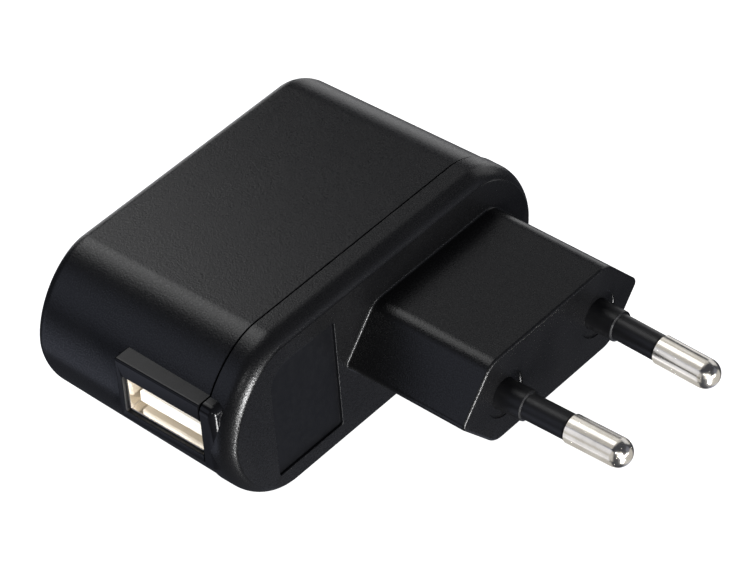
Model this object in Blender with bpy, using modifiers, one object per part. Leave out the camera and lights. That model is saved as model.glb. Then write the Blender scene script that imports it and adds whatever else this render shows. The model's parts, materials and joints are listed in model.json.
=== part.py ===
"""USB wall charger with a flat two-pin plug: two welded covers, a USB-A receptacle and the board inside.

Frame: metres, +Z up. The charger lies on its broad side, its pins point to -Y and its port faces -X.
The origin is at the centre of the bounding box, on the resting face.
"""

import math

import bmesh
import bpy
from mathutils import Vector

MM = 0.001
QUARTER_TURN = math.pi / 2

# Body
BODY_LENGTH = 59.7 * MM
BODY_THICKNESS = 25.6 * MM
BODY_DEPTH = 35.0 * MM
END_REACH = 11.0 * MM
END_EXPONENT = 1.8
END_STEPS = 10
WALL = 2.0 * MM
REAR_EDGE_ROUND = 2.1 * MM
REAR_DRAFT = 0.55 * MM
REAR_STEP = 0.15 * MM
FRONT_EDGE_ROUND = 1.9 * MM
FRONT_COVER_DEPTH = 4.65 * MM
PARTING_GAP = 0.25 * MM
WELD_LIP_HEIGHT = 0.8 * MM
WELD_LIP_WALL = 0.7 * MM
WELD_CLEARANCE = 0.1 * MM

# Plug boss and pins
BOSS_OFFSET = 9.5 * MM
BOSS_DEPTH = 19.2 * MM
BOSS_HEIGHT = 13.5 * MM
BOSS_FLAT = 23.2 * MM
BOSS_WIDTH = 35.2 * MM
BOSS_TIP_ROUND = 0.9 * MM
BOSS_SHOULDER_ROUND = 3.0 * MM
BOSS_FACE_ROUND = 0.4 * MM
BOSS_WALL = 2.0 * MM
PLUG_FACE_WALL = 4.0 * MM
PIN_LENGTH = 19.5 * MM
PIN_SPACING = 18.5 * MM
PIN_TIP_SPACING = 17.6 * MM
PIN_RADIUS = 2.0 * MM
PIN_CORE_RADIUS = 1.5 * MM
PIN_FLANGE_RADIUS = 2.4 * MM
PIN_TAIL_RADIUS = 1.0 * MM
PIN_TAIL_END = 9.0 * MM
SLEEVE_RADIUS = 1.8 * MM
SLEEVE_END = 10.4 * MM
COLLAR_RADIUS = 2.15 * MM
COLLAR_END = 3.7 * MM
COLLAR_ROOT = 1.3 * MM
WELL_RADIUS = 3.4 * MM
WELL_DEPTH = 0.6 * MM
FIT = 0.05 * MM

# Label recess on the front face
RECESS_LOW = (-21.5 * MM, 3.9 * MM)
RECESS_HIGH = (-9.6 * MM, 21.4 * MM)
RECESS_DEPTH = 0.4 * MM
RECESS_ROUND = 3.0 * MM

# Port
PORT_Y = 13.2 * MM
PORT_Z = 14.15 * MM
PORT_INSET = 0.95 * MM
BEZEL_TOP = 19.7 * MM
BEZEL_BOTTOM = 9.8 * MM
BEZEL_REAR = 21.05 * MM
BEZEL_INNER_X = -26.2 * MM
BEZEL_BAR_WIDTH = 2.4 * MM
BEZEL_BAR_ROUND = 1.2 * MM
SHELL_WIDTH = 13.1 * MM
SHELL_HEIGHT = 5.72 * MM
SHELL_WALL = 0.3 * MM
SHELL_LENGTH = 14.0 * MM
TONGUE_WIDTH = 11.1 * MM
TONGUE_THICKNESS = 1.84 * MM
TONGUE_GAP = 0.75 * MM
TONGUE_SETBACK = 0.63 * MM
INSULATOR_BLOCK = 4.6 * MM
CONTACT_Y = (-3.5 * MM, -1.0 * MM, 1.0 * MM, 3.5 * MM)
CONTACT_WIDTH = 1.0 * MM
CONTACT_THICKNESS = 0.25 * MM
CONTACT_RISE = 0.38 * MM
CONTACT_LENGTH = 6.4 * MM
GROOVE_WIDTH = 1.3 * MM
GROOVE_DEPTH = 0.9 * MM
FINGER_WIDTH = 1.6 * MM
FINGER_LENGTH = 4.6 * MM
FINGER_DIP = 0.32 * MM
FINGER_Y = 3.1 * MM
FINGER_ROOT_X = 8.6 * MM

# Board
BOARD_HALF_LENGTH = 24.8 * MM
BOARD_FRONT = 4.4 * MM
BOARD_REAR = 33.8 * MM
BOARD_THICKNESS = 1.2 * MM
BOARD_LIFT = 0.1 * MM
LEAD_RADIUS = 0.3 * MM
LEAD_HOLE_RADIUS = 0.45 * MM
LEAD_ABOVE_BOARD = 0.8 * MM
WIRE_RADIUS = 0.6 * MM
WIRE_HOLES = {"left": (1.5 * MM, 6.6 * MM), "right": (21.0 * MM, 6.6 * MM)}

# Transformer
TRANSFORMER_X = -0.5 * MM
TRANSFORMER_Y = 24.4 * MM
CORE_WIDTH = 13.0 * MM
CORE_HEIGHT = 11.0 * MM
CORE_DEPTH = 5.8 * MM
CORE_LEG = 2.2 * MM
CORE_POST = 2.6 * MM
BOBBIN_LENGTH = 12.4 * MM
BOBBIN_PIN_PITCH = 3.8 * MM
TUBE_ROUND = 0.3 * MM

# Components: (x, y) places, and radius, length and lead pitch of each can
BULK_CAPACITOR_PLACES = ((16.6 * MM, 13.2 * MM), (16.6 * MM, 22.4 * MM))
BULK_CAPACITOR_SIZE = (4.0 * MM, 12.0 * MM, 3.5 * MM)
OUTPUT_CAPACITOR_PLACE = (-18.6 * MM, 26.8 * MM)
OUTPUT_CAPACITOR_SIZE = (3.15 * MM, 11.0 * MM, 2.5 * MM)
SUPPLY_CAPACITOR_PLACE = (-10.0 * MM, 17.6 * MM)
SUPPLY_CAPACITOR_SIZE = (2.0 * MM, 7.0 * MM, 2.0 * MM)
FUSIBLE_RESISTOR_Y = 10.0 * MM
FUSIBLE_RESISTOR_X = (3.6 * MM, 9.4 * MM)
FUSIBLE_RESISTOR_RADIUS = 1.5 * MM
INPUT_INDUCTOR_Y = 14.4 * MM
INPUT_INDUCTOR_X = (3.2 * MM, 9.8 * MM)
INPUT_INDUCTOR_RADIUS = 1.6 * MM
SAFETY_CAPACITOR_PLACE = (-11.3 * MM, 25.0 * MM)
SAFETY_CAPACITOR_RADIUS = 3.6 * MM
SAFETY_CAPACITOR_THICKNESS = 2.6 * MM
DIODE_SIZE = (4.2 * MM, 2.5 * MM, 2.0 * MM)

# Derived places
HALF_LENGTH = BODY_LENGTH / 2
HALF_THICKNESS = BODY_THICKNESS / 2
TOTAL_DEPTH = BODY_DEPTH + BOSS_DEPTH + PIN_LENGTH
PIN_TIP_Y = -TOTAL_DEPTH / 2
PLUG_FACE_Y = PIN_TIP_Y + PIN_LENGTH
FRONT_Y = PLUG_FACE_Y + BOSS_DEPTH
REAR_Y = FRONT_Y + BODY_DEPTH
PARTING_Y = FRONT_Y + FRONT_COVER_DEPTH
SHELL_FRONT_X = -HALF_LENGTH + PORT_INSET
SHELL_REAR_X = SHELL_FRONT_X + SHELL_LENGTH
SHELL_TOP = PORT_Z + SHELL_HEIGHT / 2
SHELL_BOTTOM = PORT_Z - SHELL_HEIGHT / 2
TONGUE_BOTTOM = SHELL_BOTTOM + SHELL_WALL + TONGUE_GAP
TONGUE_TOP = TONGUE_BOTTOM + TONGUE_THICKNESS
TONGUE_FRONT_X = SHELL_FRONT_X + TONGUE_SETBACK
BLOCK_FRONT_X = SHELL_REAR_X - INSULATOR_BLOCK
BOARD_BOTTOM = SHELL_TOP + BOARD_LIFT
BOARD_TOP = BOARD_BOTTOM + BOARD_THICKNESS
BOBBIN_TOP = BOARD_BOTTOM - 0.5 * MM


# ---------------------------------------------------------------- scene and materials


def clear_scene():
    for obj in list(bpy.data.objects):
        bpy.data.objects.remove(obj, do_unlink=True)


def new_collection(name, hidden=False):
    made = bpy.data.collections.new(name)
    made.hide_render = hidden
    bpy.context.scene.collection.children.link(made)
    return made


clear_scene()
PARTS = new_collection("usb_wall_charger")
CUTTERS = new_collection("cutters", hidden=True)
ROOT = bpy.data.objects.new("usb_wall_charger_root", None)
PARTS.objects.link(ROOT)
MATERIALS = {}


def material(name, colour, roughness, metallic=0.0):
    made = bpy.data.materials.new(name)
    made.use_nodes = True
    shader = made.node_tree.nodes["Principled BSDF"]
    shader.inputs["Base Color"].default_value = (*colour, 1.0)
    shader.inputs["Roughness"].default_value = roughness
    shader.inputs["Metallic"].default_value = metallic
    MATERIALS[name] = made


material("black_cover", (0.018, 0.018, 0.020), 0.45)
material("black_sleeve", (0.012, 0.012, 0.013), 0.35)
material("nickel_plate", (0.72, 0.69, 0.64), 0.25, 1.0)
material("plated_steel", (0.70, 0.68, 0.65), 0.28, 1.0)
material("white_insulator", (0.86, 0.86, 0.83), 0.45)
material("gold_plate", (0.85, 0.62, 0.25), 0.25, 1.0)
material("tinned_copper", (0.62, 0.60, 0.56), 0.35, 1.0)
material("board_laminate", (0.42, 0.33, 0.16), 0.55)
material("copper_wire", (0.72, 0.33, 0.14), 0.35, 1.0)
material("insulated_wire", (0.35, 0.02, 0.02), 0.45)
material("ferrite", (0.045, 0.045, 0.05), 0.55)
material("bobbin_resin", (0.05, 0.05, 0.05), 0.5)
material("winding_tape", (0.78, 0.62, 0.08), 0.4)
material("aluminium_can", (0.75, 0.75, 0.77), 0.3, 1.0)
material("capacitor_sleeve", (0.02, 0.05, 0.16), 0.35)
material("chip_resin", (0.025, 0.025, 0.027), 0.5)
material("disc_coating", (0.06, 0.20, 0.46), 0.4)
material("resistor_coating", (0.25, 0.45, 0.38), 0.45)
material("inductor_coating", (0.10, 0.30, 0.12), 0.45)
material("ceramic_body", (0.55, 0.42, 0.26), 0.5)


# ---------------------------------------------------------------- shape helpers


def add_object(name, mesh, look, location=(0, 0, 0), rotation=(0, 0, 0)):
    obj = bpy.data.objects.new(name, mesh)
    obj.location = location
    obj.rotation_euler = rotation
    if look is None:
        CUTTERS.objects.link(obj)
        obj.hide_render = True
        obj.display_type = "WIRE"
    else:
        PARTS.objects.link(obj)
        obj.parent = ROOT
        mesh.materials.clear()
        mesh.materials.append(MATERIALS[look])
        mesh.shade_smooth()
        mesh.set_sharp_from_angle(angle=math.radians(35))
    return obj


def mesh_from(bm, name):
    mesh = bpy.data.meshes.new(name)
    bm.to_mesh(mesh)
    bm.free()
    return mesh


def add_box(name, low, high, look=None):
    """A box between two corners, with its origin at its centre."""
    centre = [(a + b) / 2 for a, b in zip(low, high)]
    size = [b - a for a, b in zip(low, high)]
    bm = bmesh.new()
    bmesh.ops.create_cube(bm, size=1)
    bmesh.ops.scale(bm, vec=size, verts=bm.verts)
    return add_object(name, mesh_from(bm, name), look, centre)


def add_cylinder(name, start, direction, length, radius, look=None, segments=16):
    """A cylinder from start along direction, with its origin at its middle."""
    bm = bmesh.new()
    bmesh.ops.create_cone(
        bm, cap_ends=True, segments=segments, radius1=radius, radius2=radius, depth=length
    )
    along = Vector(direction).normalized()
    turn = Vector((0, 0, 1)).rotation_difference(along).to_euler()
    middle = Vector(start) + along * length / 2
    return add_object(name, mesh_from(bm, name), look, middle, turn)


def add_turned(name, profile, look=None, location=(0, 0, 0), rotation=(0, 0, 0), steps=20, ring=False):
    """A profile of (radius, height), listed from the top down its outer side, turned about local Z."""
    bm = bmesh.new()
    points = [bm.verts.new((radius, 0, height)) for radius, height in profile]
    for first, second in zip(points, points[1:]):
        bm.edges.new((first, second))
    if ring:
        bm.edges.new((points[-1], points[0]))
    obj = add_object(name, mesh_from(bm, name), look, location, rotation)
    screw = obj.modifiers.new("turn", "SCREW")
    screw.steps = steps
    screw.render_steps = steps
    screw.use_merge_vertices = True
    screw.merge_threshold = 0.00001
    screw.use_smooth_shade = True
    return obj


def mesh_of_curve(curve_object, look):
    """The curve object made a welded mesh object in its place."""
    bpy.context.view_layer.update()
    graph = bpy.context.evaluated_depsgraph_get()
    mesh = bpy.data.meshes.new_from_object(curve_object.evaluated_get(graph))
    bm = bmesh.new()
    bm.from_mesh(mesh)
    bmesh.ops.remove_doubles(bm, verts=bm.verts, dist=0.000001)
    bmesh.ops.dissolve_limit(bm, angle_limit=math.radians(0.05), verts=bm.verts, edges=bm.edges)
    bm.to_mesh(mesh)
    bm.free()
    name = curve_object.name
    place = curve_object.matrix_world.copy()
    bpy.data.objects.remove(curve_object, do_unlink=True)
    obj = add_object(name, mesh, look)
    obj.matrix_world = place
    return obj


def add_outline(name, points, y_low, y_high, look=None):
    """A flat outline of (x, z) points, extruded from y_low to y_high."""
    curve = bpy.data.curves.new(name, "CURVE")
    curve.dimensions = "2D"
    curve.fill_mode = "BOTH"
    curve.extrude = (y_high - y_low) / 2
    spline = curve.splines.new("POLY")
    spline.points.add(len(points) - 1)
    for point, (x, z) in zip(spline.points, points):
        point.co = (x, z, 0, 1)
    spline.use_cyclic_u = True
    obj = bpy.data.objects.new(name, curve)
    obj.location = (0, (y_low + y_high) / 2, 0)
    obj.rotation_euler = (QUARTER_TURN, 0, 0)
    CUTTERS.objects.link(obj)
    return mesh_of_curve(obj, look)


def add_loft(name, sections, look=None):
    """A closed skin over (y, outline) sections that share their number of points."""
    bm = bmesh.new()
    rings = [[bm.verts.new((x, y, z)) for x, z in outline] for y, outline in sections]
    for near, far in zip(rings, rings[1:]):
        for index in range(len(near)):
            bm.faces.new((near[index - 1], near[index], far[index], far[index - 1]))
    bmesh.ops.triangulate(bm, faces=bm.faces)
    bm.faces.new(rings[0])
    bm.faces.new(rings[-1][::-1])
    bmesh.ops.recalc_face_normals(bm, faces=bm.faces)
    return add_object(name, mesh_from(bm, name), look)


def add_wire(name, points, radius, look, resolution=2):
    """A round wire along hand-placed points."""
    curve = bpy.data.curves.new(name, "CURVE")
    curve.dimensions = "3D"
    curve.bevel_depth = radius
    curve.bevel_resolution = resolution
    curve.use_fill_caps = True
    spline = curve.splines.new("POLY")
    spline.points.add(len(points) - 1)
    for point, place in zip(spline.points, points):
        point.co = (*place, 1)
    obj = bpy.data.objects.new(name, curve)
    CUTTERS.objects.link(obj)
    return mesh_of_curve(obj, look)


def round_rim(obj, radius, segments=2):
    """Rounds the edge loop round the front end of an extruded outline, which is its local +Z end."""
    mesh = obj.data
    limit = max(vertex.co.z for vertex in mesh.vertices) * 0.999
    weights = mesh.attributes.new("bevel_weight_edge", "FLOAT", "EDGE")
    for edge in mesh.edges:
        at_rim = all(mesh.vertices[index].co.z > limit for index in edge.vertices)
        weights.data[edge.index].value = 1.0 if at_rim else 0.0
    bevel = obj.modifiers.new("rim", "BEVEL")
    bevel.limit_method = "WEIGHT"
    bevel.width = radius
    bevel.segments = segments


def round_edges(obj, radius, segments=2, angle=50):
    bevel = obj.modifiers.new("edges", "BEVEL")
    bevel.limit_method = "ANGLE"
    bevel.angle_limit = math.radians(angle)
    bevel.width = radius
    bevel.segments = segments


def round_uprights(box, radius, segments=2):
    """Rounds the four upright edges of a box."""
    weights = box.data.attributes.new("bevel_weight_edge", "FLOAT", "EDGE")
    for edge in box.data.edges:
        first, second = (box.data.vertices[index].co for index in edge.vertices)
        upright = abs(first.x - second.x) + abs(first.y - second.y) < 0.001 * MM
        weights.data[edge.index].value = 1.0 if upright else 0.0
    bevel = box.modifiers.new("uprights", "BEVEL")
    bevel.limit_method = "WEIGHT"
    bevel.width = radius
    bevel.segments = segments


def combine(obj, other, operation):
    boolean = obj.modifiers.new(other.name, "BOOLEAN")
    boolean.operation = operation
    boolean.object = other


def cut(obj, *others):
    for other in others:
        combine(obj, other, "DIFFERENCE")


def join(obj, *others):
    for other in others:
        combine(obj, other, "UNION")


# ---------------------------------------------------------------- outlines


def body_outline(inset):
    """Two flat sides joined by bulged ends, each half of a superellipse, drawn in by inset."""
    reach = END_REACH - inset
    height = HALF_THICKNESS - inset
    centre = HALF_LENGTH - END_REACH
    points = []
    for side in (1, -1):
        for step in range(2 * END_STEPS + 1):
            angle = side * (step / (2 * END_STEPS) * math.pi - QUARTER_TURN)
            across = max(math.cos(angle), 0.0) ** (2 / END_EXPONENT)
            up = math.copysign(abs(math.sin(angle)) ** (2 / END_EXPONENT), math.sin(angle))
            points.append((side * (centre + reach * across), HALF_THICKNESS + height * up))
    return points


def edge_round(y_face, way, radius, inset, steps=4):
    """Sections that round a body outline off towards its end face; way is +1 where the face looks to +Y."""
    sections = []
    for step in range(steps + 1):
        angle = step / steps * QUARTER_TURN
        y = y_face - way * radius * (1 - math.sin(angle))
        sections.append((y, body_outline(inset + radius * (1 - math.cos(angle)))))
    return sections if way > 0 else sections[::-1]


def rounded_polygon(corners, radii, steps=4):
    """The corners, listed round the shape, each replaced by an arc of its radius."""
    points = []
    count = len(corners)
    for index, radius in enumerate(radii):
        before, corner, after = (Vector(corners[(index + shift) % count]) for shift in (-1, 0, 1))
        back = (before - corner).normalized()
        ahead = (after - corner).normalized()
        half_angle = back.angle(ahead) / 2
        middle = corner + (back + ahead).normalized() * radius / math.sin(half_angle)
        first = corner + back * radius / math.tan(half_angle) - middle
        last = corner + ahead * radius / math.tan(half_angle) - middle
        for step in range(steps + 1):
            arm = first.lerp(last, step / steps).normalized() * radius
            points.append(tuple(middle + arm))
    return points


def boss_outline(inset):
    """The flat plug's six-sided outline, drawn in by inset."""
    flat = BOSS_FLAT / 2 - inset * 0.4
    tip = BOSS_WIDTH / 2 - inset * 1.35
    height = BOSS_HEIGHT / 2 - inset
    corners = ((flat, height), (tip, 0), (flat, -height), (-flat, -height), (-tip, 0), (-flat, height))
    shoulder = max(BOSS_SHOULDER_ROUND - inset, 1.0 * MM)
    radii = (shoulder, BOSS_TIP_ROUND, shoulder) * 2
    return [(BOSS_OFFSET + x, HALF_THICKNESS + z) for x, z in rounded_polygon(corners, radii)]


# ---------------------------------------------------------------- covers


def pin_places():
    """(name, x, toe-in angle) of the two pins."""
    toe = math.atan((PIN_SPACING - PIN_TIP_SPACING) / 2 / PIN_LENGTH)
    return (
        ("left", BOSS_OFFSET - PIN_SPACING / 2, toe),
        ("right", BOSS_OFFSET + PIN_SPACING / 2, -toe),
    )


def port_opening(name, y_low):
    """The cut that leaves the port open through the end wall."""
    return add_box(
        name,
        (-HALF_LENGTH - 1 * MM, y_low, PORT_Z - SHELL_HEIGHT / 2 - 0.1 * MM),
        (-20 * MM, PORT_Y + SHELL_WIDTH / 2 + 0.1 * MM, PORT_Z + SHELL_HEIGHT / 2 + 0.06 * MM),
    )


def rear_cover():
    y_low = PARTING_Y + PARTING_GAP / 2
    untrimmed = y_low - 1 * MM
    rear_inset = REAR_STEP + REAR_DRAFT
    skin = [(untrimmed, body_outline(REAR_STEP))] + edge_round(REAR_Y, 1, REAR_EDGE_ROUND, rear_inset)
    cover = add_loft("rear_cover", skin, "black_cover")
    frame = add_box(
        "rear_port_frame",
        (-HALF_LENGTH, untrimmed, BEZEL_BOTTOM),
        (BEZEL_INNER_X, BEZEL_REAR, BEZEL_TOP),
    )
    trim = add_box(
        "parting_trim",
        (-BODY_LENGTH, untrimmed - 1 * MM, -BODY_THICKNESS),
        (BODY_LENGTH, y_low, 2 * BODY_THICKNESS),
    )
    round_edges(frame, 0.25 * MM, 1)
    hollow_sections = (
        (untrimmed - 1 * MM, body_outline(WALL)),
        (REAR_Y - WALL, body_outline(WALL + REAR_DRAFT)),
    )
    hollow = add_loft("rear_hollow", hollow_sections)
    frame_inside = add_box(
        "port_frame_inside",
        (-HALF_LENGTH + WALL, untrimmed - 1 * MM, BEZEL_BOTTOM + 0.5 * MM),
        (BEZEL_INNER_X + 1 * MM, BEZEL_REAR + 1 * MM, BOARD_TOP + 0.3 * MM),
    )
    rebate = add_outline(
        "weld_rebate",
        body_outline(WALL - WELD_LIP_WALL - WELD_CLEARANCE),
        untrimmed - 1 * MM,
        PARTING_Y + WELD_LIP_HEIGHT + WELD_CLEARANCE,
    )
    join(cover, frame)
    cut(cover, hollow, rebate, frame_inside, port_opening("rear_port_opening", untrimmed - 1 * MM), trim)
    for side in (-1, 1):
        rail_front = 22.5 * MM if side < 0 else 12.0 * MM
        for label, low, high in (
            ("upper", BOARD_TOP + 0.15 * MM, BOARD_TOP + 1.15 * MM),
            ("lower", BOARD_BOTTOM - 1.15 * MM, BOARD_BOTTOM - 0.15 * MM),
        ):
            inner = side * (BOARD_HALF_LENGTH - 0.9 * MM)
            outer = side * (BOARD_HALF_LENGTH + 1.4 * MM)
            rail = add_box(
                f"board_rail_{label}_{'left' if side < 0 else 'right'}",
                (min(inner, outer), rail_front, low),
                (max(inner, outer), REAR_Y - WALL + 0.5 * MM, high),
            )
            join(cover, rail)
    return cover


def front_cover():
    y_high = PARTING_Y - PARTING_GAP / 2
    skin = edge_round(FRONT_Y, -1, FRONT_EDGE_ROUND, 0) + [(y_high, body_outline(0))]
    cover = add_loft("front_cover", skin, "black_cover")
    boss = add_outline("plug_boss", boss_outline(0), PLUG_FACE_Y, FRONT_Y + WALL / 2)
    round_rim(boss, BOSS_FACE_ROUND)
    hollow = add_outline("front_hollow", body_outline(WALL), FRONT_Y + WALL, y_high + 2 * MM)
    boss_hollow = add_outline(
        "boss_hollow", boss_outline(BOSS_WALL), PLUG_FACE_Y + PLUG_FACE_WALL, FRONT_Y + WALL + 1 * MM
    )
    lip = add_outline(
        "weld_lip", body_outline(WALL - WELD_LIP_WALL), FRONT_Y + WALL + 0.5 * MM,
        PARTING_Y + WELD_LIP_HEIGHT,
    )
    lip_inside = add_outline("weld_lip_inside", body_outline(WALL), FRONT_Y, PARTING_Y + 2 * MM)
    cut(lip, lip_inside)
    bar = add_box(
        "front_port_bar",
        (-HALF_LENGTH, y_high - BEZEL_BAR_WIDTH, BEZEL_BOTTOM),
        (BEZEL_INNER_X, y_high, BEZEL_TOP),
    )
    round_bar_edges(bar)
    join(cover, boss)
    cut(cover, hollow, boss_hollow)
    join(cover, lip, bar)
    lip_gap = add_box(
        "lip_port_gap",
        (-HALF_LENGTH - 1 * MM, y_high, BEZEL_BOTTOM - 0.4 * MM),
        (-20 * MM, PARTING_Y + 3 * MM, BEZEL_TOP + 0.4 * MM),
    )
    cut(cover, lip_gap, label_recess())
    for side, x, toe in pin_places():
        cut(cover, pin_bore(side, x, toe))
    return cover


def round_bar_edges(bar):
    """Rounds the plug-side upright and the top of the port frame's fourth side."""
    mesh = bar.data
    weights = mesh.attributes.new("bevel_weight_edge", "FLOAT", "EDGE")
    for edge in mesh.edges:
        ends = [mesh.vertices[index].co for index in edge.vertices]
        outer_upright = all(end.x < 0 and end.y < 0 for end in ends)
        top_edge = all(end.z > 0 for end in ends) and (
            all(end.y < 0 for end in ends) or all(end.x < 0 for end in ends)
        )
        weights.data[edge.index].value = 1.0 if outer_upright or top_edge else 0.0
    bevel = bar.modifiers.new("rounds", "BEVEL")
    bevel.limit_method = "WEIGHT"
    bevel.width = BEZEL_BAR_ROUND
    bevel.segments = 3


def label_recess():
    (x_low, z_low), (x_high, z_high) = RECESS_LOW, RECESS_HIGH
    corners = ((x_high, z_high), (x_high, z_low), (x_low, z_low), (x_low, z_high))
    small = 0.3 * MM
    outline = rounded_polygon(corners, (small, small, small, RECESS_ROUND))
    return add_outline("label_recess", outline, FRONT_Y - 1 * MM, FRONT_Y + RECESS_DEPTH)


def pin_bore(side, x, toe):
    """The stepped hole in the plug face: a shallow well, the collar's seat and the pin core's bore."""
    profile = (
        (0, 1 * MM),
        (WELL_RADIUS, 1 * MM),
        (WELL_RADIUS, -WELL_DEPTH),
        (COLLAR_RADIUS + FIT, -WELL_DEPTH),
        (COLLAR_RADIUS + FIT, -COLLAR_ROOT - FIT),
        (PIN_CORE_RADIUS + FIT, -COLLAR_ROOT - FIT),
        (PIN_CORE_RADIUS + FIT, -PLUG_FACE_WALL - 0.5 * MM),
        (0, -PLUG_FACE_WALL - 0.5 * MM),
    )
    place = (x, PLUG_FACE_Y, HALF_THICKNESS)
    return add_turned(f"pin_bore_{side}", profile, None, place, (QUARTER_TURN, 0, toe))


# ---------------------------------------------------------------- pins


def pins():
    dome = [
        (PIN_RADIUS * math.sin(angle), PIN_LENGTH - PIN_RADIUS + PIN_RADIUS * math.cos(angle))
        for angle in (step * QUARTER_TURN / 5 for step in range(6))
    ]
    pin_profile = dome + [
        (PIN_RADIUS, SLEEVE_END),
        (PIN_CORE_RADIUS, SLEEVE_END),
        (PIN_CORE_RADIUS, -PLUG_FACE_WALL - FIT),
        (PIN_FLANGE_RADIUS, -PLUG_FACE_WALL - FIT),
        (PIN_FLANGE_RADIUS, -PLUG_FACE_WALL - 1 * MM),
        (PIN_TAIL_RADIUS, -PLUG_FACE_WALL - 1 * MM),
        (PIN_TAIL_RADIUS, -PIN_TAIL_END),
        (0, -PIN_TAIL_END),
    ]
    bore = PIN_CORE_RADIUS + FIT
    sleeve_profile = (
        (bore, SLEEVE_END - FIT),
        (SLEEVE_RADIUS, SLEEVE_END - FIT),
        (SLEEVE_RADIUS, COLLAR_END),
        (COLLAR_RADIUS, COLLAR_END),
        (COLLAR_RADIUS, -COLLAR_ROOT),
        (bore, -COLLAR_ROOT),
    )
    for side, x, toe in pin_places():
        place = (x, PLUG_FACE_Y, HALF_THICKNESS)
        turn = (QUARTER_TURN, 0, toe)
        add_turned(f"pin_{side}", pin_profile, "nickel_plate", place, turn)
        add_turned(f"pin_sleeve_{side}", sleeve_profile, "black_sleeve", place, turn, ring=True)


def pin_wires():
    """The insulated leads, from behind each pin tail up through the board."""
    tail_y = PLUG_FACE_Y + PIN_TAIL_END + 0.3 * MM
    z = HALF_THICKNESS
    for side, x, toe in pin_places():
        start = x - math.tan(toe) * PIN_TAIL_END
        end = WIRE_HOLES[side]
        route = (
            (start, tail_y, z),
            (start, tail_y + 3 * MM, z),
            (start * 0.6 + end[0] * 0.4, tail_y + 8 * MM, z + 0.2 * MM),
            (end[0], end[1] - 3.2 * MM, z + 0.6 * MM),
            (end[0], end[1] - 1.0 * MM, z + 1.6 * MM),
            (end[0], end[1], z + 2.8 * MM),
            (end[0], end[1], BOARD_TOP + 0.6 * MM),
        )
        add_wire(f"pin_wire_{side}", route, WIRE_RADIUS, "insulated_wire")


# ---------------------------------------------------------------- port


def usb_shell():
    """The folded shield: a rectangular tube with a window for each retention finger."""
    low = Vector((SHELL_FRONT_X, PORT_Y - SHELL_WIDTH / 2, SHELL_BOTTOM))
    high = Vector((SHELL_REAR_X, PORT_Y + SHELL_WIDTH / 2, SHELL_TOP))
    shell = add_box("usb_shell", low, high, "plated_steel")
    round_edges(shell, 0.25 * MM, 1)
    wall = Vector((0, SHELL_WALL, SHELL_WALL))
    past_end = Vector((1 * MM, 0, 0))
    inside = add_box("shell_inside", low + wall - past_end, high - wall + past_end)
    cut(shell, inside)
    for number, y, top in finger_places():
        z = SHELL_TOP if top else SHELL_BOTTOM
        window = add_box(
            f"finger_window_{number}",
            (finger_root_x() - FINGER_LENGTH - 0.5 * MM, y - FINGER_WIDTH / 2 - 0.15 * MM, z - 0.5 * MM),
            (finger_root_x() + 0.15 * MM, y + FINGER_WIDTH / 2 + 0.15 * MM, z + 0.5 * MM),
        )
        cut(shell, window)
    for number, side in enumerate((-1, 1), 1):
        y = PORT_Y + side * (SHELL_WIDTH / 2 - 0.2 * MM)
        leg = add_box(
            f"shell_leg_{number}",
            (SHELL_REAR_X - 6.6 * MM, y - 0.15 * MM, SHELL_TOP - 1.5 * MM),
            (SHELL_REAR_X - 4.9 * MM, y + 0.15 * MM, BOARD_TOP + 0.7 * MM),
        )
        join(shell, leg)
    return shell


def finger_root_x():
    return SHELL_FRONT_X + FINGER_ROOT_X


def finger_places():
    """(number, y, on the top wall) of the four retention fingers."""
    return [
        (index + 1, PORT_Y + (FINGER_Y if index % 2 else -FINGER_Y), index < 2)
        for index in range(4)
    ]


def profile_strip(name, points, width, look, location):
    """A strip whose side view is the closed outline of (x, z) points, extruded across its width."""
    strip = add_outline(name, points, -width / 2, width / 2, look)
    bpy.context.view_layer.update()
    strip.matrix_world.translation = Vector(location)
    return strip


def bent_strip(centre_line, thickness):
    """The closed outline of a strip of constant thickness along (x, z) points."""
    upper = []
    lower = []
    for index, (x, z) in enumerate(centre_line):
        before = Vector(centre_line[max(index - 1, 0)])
        after = Vector(centre_line[min(index + 1, len(centre_line) - 1)])
        along = (after - before).normalized()
        normal = Vector((-along.y, along.x)) * thickness / 2
        upper.append((x + normal.x, z + normal.y))
        lower.append((x - normal.x, z - normal.y))
    return upper + lower[::-1]


def shell_springs():
    """Fingers that dip into the port from their roots, each turning about its root line."""
    for number, y, top in finger_places():
        inward = -1 if top else 1
        z = SHELL_TOP - SHELL_WALL / 2 if top else SHELL_BOTTOM + SHELL_WALL / 2
        centre_line = (
            (0, 0),
            (-FINGER_LENGTH * 0.35, inward * FINGER_DIP * 0.45),
            (-FINGER_LENGTH * 0.75, inward * FINGER_DIP),
            (-FINGER_LENGTH, inward * FINGER_DIP * 0.55),
        )
        outline = bent_strip(centre_line, SHELL_WALL * 0.8)
        profile_strip(
            f"usb_shell_spring_{number}", outline, FINGER_WIDTH, "plated_steel", (finger_root_x(), y, z)
        )


def contact_root():
    """The line about which a contact spring flexes: its (x, z)."""
    return (BLOCK_FRONT_X - 0.15 * MM, TONGUE_TOP - GROOVE_DEPTH + 0.35 * MM)


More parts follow.
